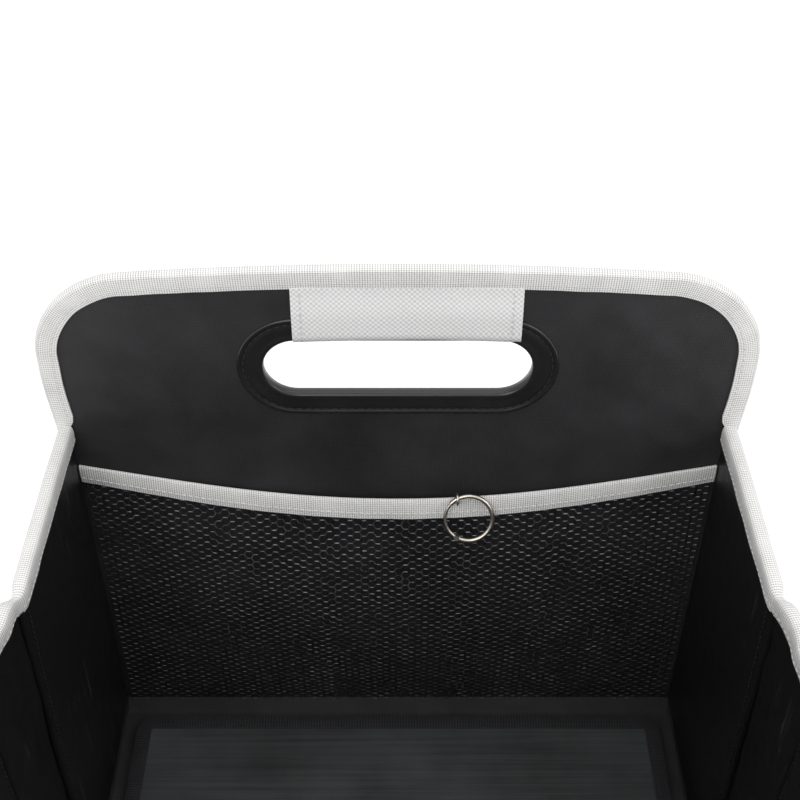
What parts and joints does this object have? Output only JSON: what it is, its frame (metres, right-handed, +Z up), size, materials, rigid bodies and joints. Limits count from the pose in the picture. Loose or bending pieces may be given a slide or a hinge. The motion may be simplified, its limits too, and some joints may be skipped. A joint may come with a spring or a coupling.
{
  "type": "foldable tool tote organizer",
  "caption": "Open-top fabric tool tote with tall slotted end panels, low folding side walls, a mesh pocket with a hinged ring, and a loose base board.",
  "frame": {"origin": "centre of the tote's footprint on the surface that it stands on", "axes": "+Z up, +X across the end panels, +Y towards the end that has the mesh pocket"},
  "size_m": [0.322, 0.2736, 0.3],
  "materials": {
    "shell_fabric": "black woven polyester",
    "lining_fabric": "smooth coated black lining",
    "grey_binding": "light grey ribbed polyester tape",
    "grip_oxford": "light grey basket-weave oxford",
    "bezel_plastic": "moulded black plastic, semi-gloss",
    "hex_mesh": "black knitted hexagonal mesh",
    "nickel_wire": "nickel plated steel wire",
    "stiffener_board": "pressed fibre board",
    "base_cover_fabric": "dark grey woven cover",
    "black_binding": "black ribbed tape"
  },
  "bodies": {
    "back_end": {"back_outer_fabric": "shell_fabric", "back_board": "stiffener_board", "back_inner_fabric": "shell_fabric", "back_binding": "grey_binding", "back_bezel_inner": "bezel_plastic", "back_bezel_outer": "bezel_plastic", "back_grip_wrap": "grip_oxford", "back_corner_strip_left": "lining_fabric", "back_corner_strip_right": "lining_fabric", "pocket_mesh": "hex_mesh", "pocket_binding": "grey_binding", "ring_link": "nickel_wire", "floor_fabric": "shell_fabric"},
    "wing_back_left": {"back_wing_cover_left": "lining_fabric", "back_wing_board_left": "stiffener_board", "back_wing_binding_left": "grey_binding"},
    "gusset_left": {"gusset_fabric_left": "lining_fabric", "gusset_binding_left": "grey_binding"},
    "wing_front_left": {"front_wing_cover_left": "lining_fabric", "front_wing_board_left": "stiffener_board", "front_wing_binding_left": "grey_binding"},
    "front_end": {"front_outer_fabric": "shell_fabric", "front_board": "stiffener_board", "front_inner_fabric": "shell_fabric", "front_binding": "grey_binding", "front_bezel_inner": "bezel_plastic", "front_bezel_outer": "bezel_plastic", "front_grip_wrap": "grip_oxford", "front_corner_strip_left": "lining_fabric", "front_corner_strip_right": "lining_fabric"},
    "wing_back_right": {"back_wing_cover_right": "lining_fabric", "back_wing_board_right": "stiffener_board", "back_wing_binding_right": "grey_binding"},
    "gusset_right": {"gusset_fabric_right": "lining_fabric", "gusset_binding_right": "grey_binding"},
    "wing_front_right": {"front_wing_cover_right": "lining_fabric", "front_wing_board_right": "stiffener_board", "front_wing_binding_right": "grey_binding"},
    "base_board": {"base_board_core": "stiffener_board", "base_board_cover": "base_cover_fabric", "base_board_binding": "black_binding"},
    "ring": {"ring_hoop": "nickel_wire", "ring_pin": "nickel_wire"},
    "ring_gate": {"ring_gate": "nickel_wire"}
  },
  "joints": [
    {"name": "side_fold", "type": "hinge", "parent": "back_end", "child": "wing_back_left", "pos_m": [-0.154, 0.121, 0.1], "axis": [0, 0, 1], "range_deg": [0, 80]},
    {"name": "gusset_left_fold", "type": "hinge", "parent": "wing_back_left", "child": "gusset_left", "pos_m": [-0.154, 0.028, 0.1], "axis": [0, 0, 1], "range_deg": [-80, 0]},
    {"name": "wing_front_left_fold", "type": "hinge", "parent": "gusset_left", "child": "wing_front_left", "pos_m": [-0.154, -0.028, 0.1], "axis": [0, 0, 1], "range_deg": [-80, 0]},
    {"name": "front_end_fold", "type": "hinge", "parent": "wing_front_left", "child": "front_end", "pos_m": [-0.154, -0.121, 0.1], "axis": [0, 0, 1], "range_deg": [0, 80]},
    {"name": "wing_back_right_fold", "type": "hinge", "parent": "back_end", "child": "wing_back_right", "pos_m": [0.154, 0.121, 0.1], "axis": [0, 0, 1], "range_deg": [-80, 0]},
    {"name": "gusset_right_fold", "type": "hinge", "parent": "wing_back_right", "child": "gusset_right", "pos_m": [0.154, 0.028, 0.1], "axis": [0, 0, 1], "range_deg": [0, 80]},
    {"name": "wing_front_right_fold", "type": "hinge", "parent": "gusset_right", "child": "wing_front_right", "pos_m": [0.154, -0.028, 0.1], "axis": [0, 0, 1], "range_deg": [0, 80]},
    {"name": "base_board_lift", "type": "slide", "parent": "back_end", "child": "base_board", "axis": [0, -0.0499, 0.9988], "range_m": [0, 0.31]},
    {"name": "ring_swing", "type": "hinge", "parent": "back_end", "child": "ring", "pos_m": [0.02847, 0.12226, 0.17162], "axis": [-1, 0, 0], "range_deg": [0, 140]},
    {"name": "ring_gate_open", "type": "hinge", "parent": "ring", "child": "ring_gate", "pos_m": [0.0283, 0.11419, 0.15349], "axis": [0, -0.9135, 0.4067], "range_deg": [0, 35]}
  ],
  "couplings": [
    {"joint": "gusset_left_fold", "follows": "side_fold", "ratio": -1},
    {"joint": "wing_front_left_fold", "follows": "side_fold", "ratio": -1},
    {"joint": "front_end_fold", "follows": "side_fold", "ratio": 1},
    {"joint": "wing_back_right_fold", "follows": "side_fold", "ratio": -1},
    {"joint": "gusset_right_fold", "follows": "side_fold", "ratio": 1},
    {"joint": "wing_front_right_fold", "follows": "side_fold", "ratio": 1}
  ]
}
